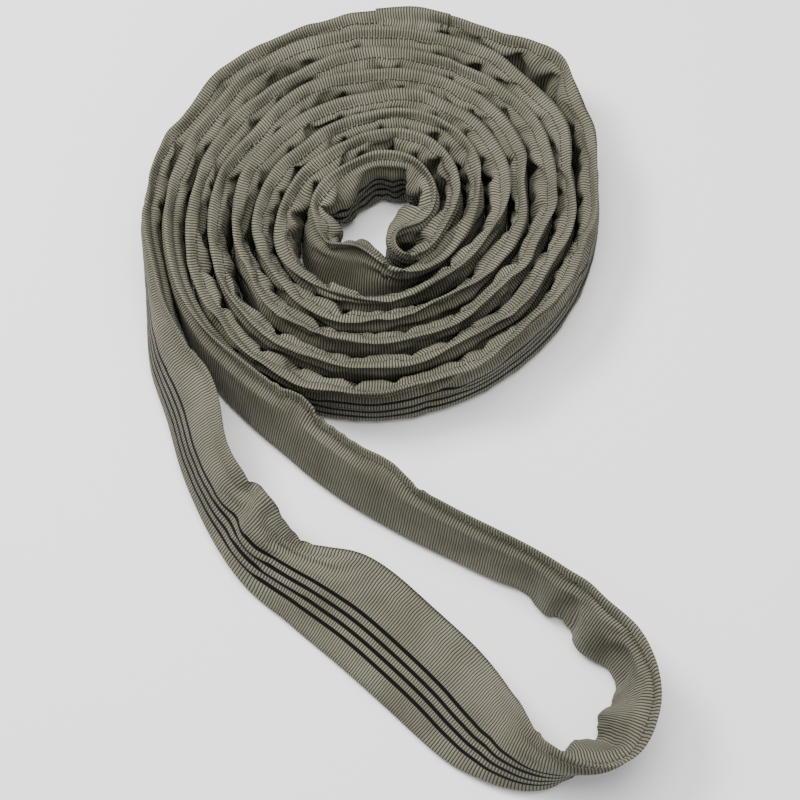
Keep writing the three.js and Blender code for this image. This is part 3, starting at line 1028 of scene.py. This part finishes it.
def make_hank():
    """The yarn fills the middle of the sleeve wherever the cloth has come to lie."""
    levels = np.arange(2, 9)
    left, right = SLEEVE[:, levels], SLEEVE[:, ROWS - levels]
    middle, half = (left + right) / 2, (left - right) / 2
    room = np.linalg.norm(half, axis=2)
    place = (HALF_ROUND[levels] - HANK_ROUND_MIDDLE) / HANK_ROUND_REACH
    wanted = HANK_HALF * np.sqrt(np.maximum(1 - place ** 2, 0.01))
    thick = np.maximum(np.minimum(wanted[None], 0.8 * (room - CLOTH - 0.3)), 0.1)
    half = half * (thick / np.maximum(room, 1e-6))[..., None]
    points = np.concatenate([middle + half, (middle - half)[:, ::-1]], axis=1)
    points[..., 2] = np.maximum(points[..., 2], HANK_FLOOR)
    count, rows = points.shape[:2]
    faces = torus_faces(count, rows, 0, FLIP)
    uvs = torus_uvs(count, rows, LENGTH, FLIP)
    m = Nodes("hank_yarn")
    uv = m.node("ShaderNodeUVMap", uv_map="cloth_run").outputs["UV"]
    parts = m.node("ShaderNodeSeparateXYZ")
    m.link(uv, parts.inputs[0])
    twist = m.math("ADD", m.math("MULTIPLY", parts.outputs[0], 260.0),
                   m.math("MULTIPLY", parts.outputs[1], 3400.0))
    strand = m.math("ADD", m.math("MULTIPLY", m.math("SINE", twist), 0.5), 0.5)
    m.bump(strand, 0.0006)
    color = m.mix(strand, (0.50, 0.48, 0.43, 1), (0.80, 0.78, 0.72, 1))
    m.link(color, m.shader.inputs["Base Color"])
    m.shader.inputs["Roughness"].default_value = 0.6
    hank = new_mesh("yarn_hank", points.reshape(-1, 3), faces, uvs, m.material)
    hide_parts("coil_yarn_hank", "free_loop_yarn_hank")
    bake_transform(hank)
    return hank


hank = make_hank()

# ---- what is sewn on the sleeve ----


def on_surface(run, round_at):
    """Points, normals, and the directions along and round the sleeve, at places in mm."""
    i = np.asarray(run, float) / LENGTH * SURFACE_STATIONS
    j = np.asarray(round_at, float) / GIRTH * SURFACE_ROUND
    i0, j0 = np.floor(i).astype(int), np.floor(j).astype(int)
    fi, fj = (i - i0)[..., None], (j - j0)[..., None]
    i0, i1 = i0 % SURFACE_STATIONS, (i0 + 1) % SURFACE_STATIONS
    j0, j1 = j0 % SURFACE_ROUND, (j0 + 1) % SURFACE_ROUND

    def between(grid):
        low = grid[i0, j0] * (1 - fj) + grid[i0, j1] * fj
        high = grid[i1, j0] * (1 - fj) + grid[i1, j1] * fj
        return low * (1 - fi) + high * fi, high - low, \
            (grid[i0, j1] - grid[i0, j0]) * (1 - fi) + (grid[i1, j1] - grid[i1, j0]) * fi

    points, along, around = between(SURFACE)
    normals = between(SURFACE_NORMAL)[0]
    return points, unit(normals), unit(along), unit(around)


def unit(vectors):
    return vectors / np.maximum(np.linalg.norm(vectors, axis=-1), TINY)[..., None]


def stitch_mesh(name, places, normals, ways, long, thick, material):
    """Short plump stitches, each lying along its way and half sunk in the cloth."""
    ring = np.arange(6) / 6 * 2 * math.pi
    profile = [(-0.5, 0.0), (-0.32, 1.0), (0.32, 1.0), (0.5, 0.0)]
    shape = []
    for x, size in profile:
        if size == 0:
            shape.append((x * long, 0, 0))
        else:
            shape += [(x * long, size * thick / 2 * math.cos(a), size * thick * 0.36 * math.sin(a))
                      for a in ring]
    shape = np.array(shape)
    faces = []
    for k in range(6):
        n = (k + 1) % 6
        faces += [(0, 1 + n, 1 + k), (13, 7 + k, 7 + n)]
    quads = [(1 + k, 1 + (k + 1) % 6, 7 + (k + 1) % 6, 7 + k) for k in range(6)]
    sides = unit(np.cross(normals, ways))
    points = (
        places[:, None]
        + ways[:, None] * shape[None, :, :1]
        + sides[:, None] * shape[None, :, 1:2]
        + normals[:, None] * (shape[None, :, 2:] + thick * 0.12)
    )
    every = []
    for index in range(len(places)):
        first = index * len(shape)
        every += [tuple(v + first for v in face) for face in faces + quads]
    mesh = bpy.data.meshes.new(name)
    mesh.from_pydata((points.reshape(-1, 3) * MM).tolist(), [], every)
    mesh.polygons.foreach_set("use_smooth", [True] * len(mesh.polygons))
    mesh.materials.append(material)
    piece = bpy.data.objects.new(name, mesh)
    bpy.context.scene.collection.objects.link(piece)
    return piece


def thread_with_painted_seam_shade_material():
    m = Nodes("seam_thread")
    place = m.node("ShaderNodeTexCoord").outputs["Object"]
    tone = m.noise(place, 900.0, 2.0)
    # Dark thread, painted darker still: painted shade of the groove where the stitches pull the cloth in.
    color = m.mix(m.ramp(tone, 0.3, 0.7), (0.012, 0.011, 0.008, 1), (0.036, 0.034, 0.026, 1))
    m.link(color, m.shader.inputs["Base Color"])
    m.bump(m.noise(place, 2600.0, 1.0), 0.0002)
    m.shader.inputs["Roughness"].default_value = 0.7
    return m.material


# The stitches' material: a dark thread whose colour also carries painted shade of the groove the stitches
# pull into the cloth.
THREAD = thread_with_painted_seam_shade_material()
STITCH_PITCH = 3.3
STITCH_LONG = 2.5
STITCH_THICK = 0.85
# Round the sleeve, on the two faces of the seam.
SEAM_LEFT, SEAM_RIGHT = 61.5, 78.5
# From here on along the free loop, the seam's left face carries no stitches.
SEAM_HIDDEN_FROM = 540.0


def make_seam():
    count = int(LENGTH / STITCH_PITCH)
    run = (np.arange(count) + 0.5) * LENGTH / count
    parts = [on_surface(run + shift, np.full(count, place))
             for place, shift in ((SEAM_LEFT, 0.0), (SEAM_RIGHT, STITCH_PITCH * 0.5))]
    shown = LOOP_PART[(run / STEP).astype(int) % STATIONS] < SEAM_HIDDEN_FROM
    shown = np.concatenate([shown, np.ones(count, bool)])
    places, normals, ways = (np.concatenate([part[k] for part in parts])[shown] for k in range(3))
    seam = stitch_mesh("seam_stitches", places, normals, ways, STITCH_LONG, STITCH_THICK, THREAD)
    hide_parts("coil_seam_thread", "free_loop_seam_thread")
    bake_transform(seam)


make_seam()

OVERLAP_START, OVERLAP_END = 1151.0, 1172.0
OVERLAP_ROWS = (0.10, 0.90)
OVERLAP_LIFT, OVERLAP_THICK, OVERLAP_PITCH = 0.15, 0.9, 2.5
OVERLAP_STITCH_LIFT = 1.15
LABEL_START, LABEL_END = 974.0, 1006.0
LABEL_LOW, LABEL_HIGH = 6, 32
LABEL_LIFT, LABEL_THICK = 0.1, 0.35
PATCH_FLOOR = 0.1
EDGE_LIFT, EDGE_REACH = 0.25, 1.5


def patch(name, run, round_at, lift, thick, material, close_round=False):
    """A piece of cloth lying on the sleeve over a grid of places, with its own thickness."""
    u, v = np.meshgrid(run, round_at, indexing="ij")
    points, normals, _, _ = on_surface(u, v)
    rows, columns = u.shape
    edge = np.minimum(np.arange(rows), np.arange(rows)[::-1])[:, None, None]
    lift = lift + EDGE_LIFT * np.exp(-edge / EDGE_REACH)
    top, under = points + normals * (lift + thick), points + normals * lift
    for layer in (top, under):
        layer[..., 2] = np.maximum(layer[..., 2], PATCH_FLOOR)
    columns_round = columns if close_round else columns - 1
    faces, uvs = [], []

    def face(ids, places):
        faces.append(ids)
        uvs.extend(places)

    count = rows * columns
    for i in range(rows - 1):
        for j in range(columns_round):
            j2 = (j + 1) % columns
            ids = [i * columns + j, (i + 1) * columns + j, (i + 1) * columns + j2, i * columns + j2]
            v2 = v[i, j2] if j2 else GIRTH
            where = [(u[i, j], v[i, j]), (u[i + 1, j], v[i, j]), (u[i + 1, j], v2), (u[i, j], v2)]
            lower = [k + count for k in ids]
            face(turned(ids, FLIP), turned(where, FLIP))
            face(turned(lower, not FLIP), turned(where, not FLIP))
    for i, last in ((0, False), (rows - 1, True)):
        for j in range(columns_round):
            a, b = i * columns + j, i * columns + (j + 1) % columns
            ids = turned([a, b, b + count, a + count], last != FLIP)
            face(ids, [(u[i, j], v[i, j])] * 4)
    if not close_round:
        for j, last in ((0, False), (columns - 1, True)):
            for i in range(rows - 1):
                a, b = i * columns + j, (i + 1) * columns + j
                ids = turned([a + count, b + count, b, a], last != FLIP)
                face(ids, [(u[i, j], v[i, j])] * 4)
    points = np.concatenate([top.reshape(-1, 3), under.reshape(-1, 3)])
    return new_mesh(name, points, faces, np.array(uvs) * MM, material)


def make_overlap():
    first, last = sorted(run_at(angle, True) for angle in (OVERLAP_START, OVERLAP_END))
    run = np.linspace(first, last, 26)
    cuff = patch("overlap_cuff", run, np.arange(0, GIRTH, OVERLAP_PITCH), OVERLAP_LIFT,
                 OVERLAP_THICK, SLEEVE_MATERIAL, close_round=True)
    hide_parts("sleeve_end_overlap")
    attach(cuff, "coil")
    around = np.concatenate([np.arange(7, 60, STITCH_PITCH), np.arange(80, 134, STITCH_PITCH)])
    for index, share in enumerate(OVERLAP_ROWS):
        at = first + (last - first) * share
        places, normals, _, ways = on_surface(np.full(len(around), at), around)
        places = places + normals * OVERLAP_STITCH_LIFT
        row = stitch_mesh(f"overlap_stitches_{index + 1}", places, normals, ways,
                          STITCH_LONG, STITCH_THICK, THREAD)
        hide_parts(f"overlap_stitch_row_{index + 1}")
        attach(row, "coil")


make_overlap()


def make_label():
    m = Nodes("label_cloth_blank")
    place = m.node("ShaderNodeTexCoord").outputs["Object"]
    weave = m.noise(place, 1500.0, 2.0)
    color = m.mix(m.ramp(weave, 0.3, 0.7), (0.045, 0.150, 0.370, 1), (0.060, 0.190, 0.450, 1))
    m.link(color, m.shader.inputs["Base Color"])
    m.bump(weave, 0.0001)
    m.shader.inputs["Roughness"].default_value = 0.45
    first, last = sorted(run_at(angle, False) for angle in (LABEL_START, LABEL_END))
    label = patch("label_patch", np.linspace(first, last, 22),
                  np.linspace(LABEL_LOW, LABEL_HIGH, 15), LABEL_LIFT, LABEL_THICK, m.material)
    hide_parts("identification_label")
    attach(label, "coil")


make_label()
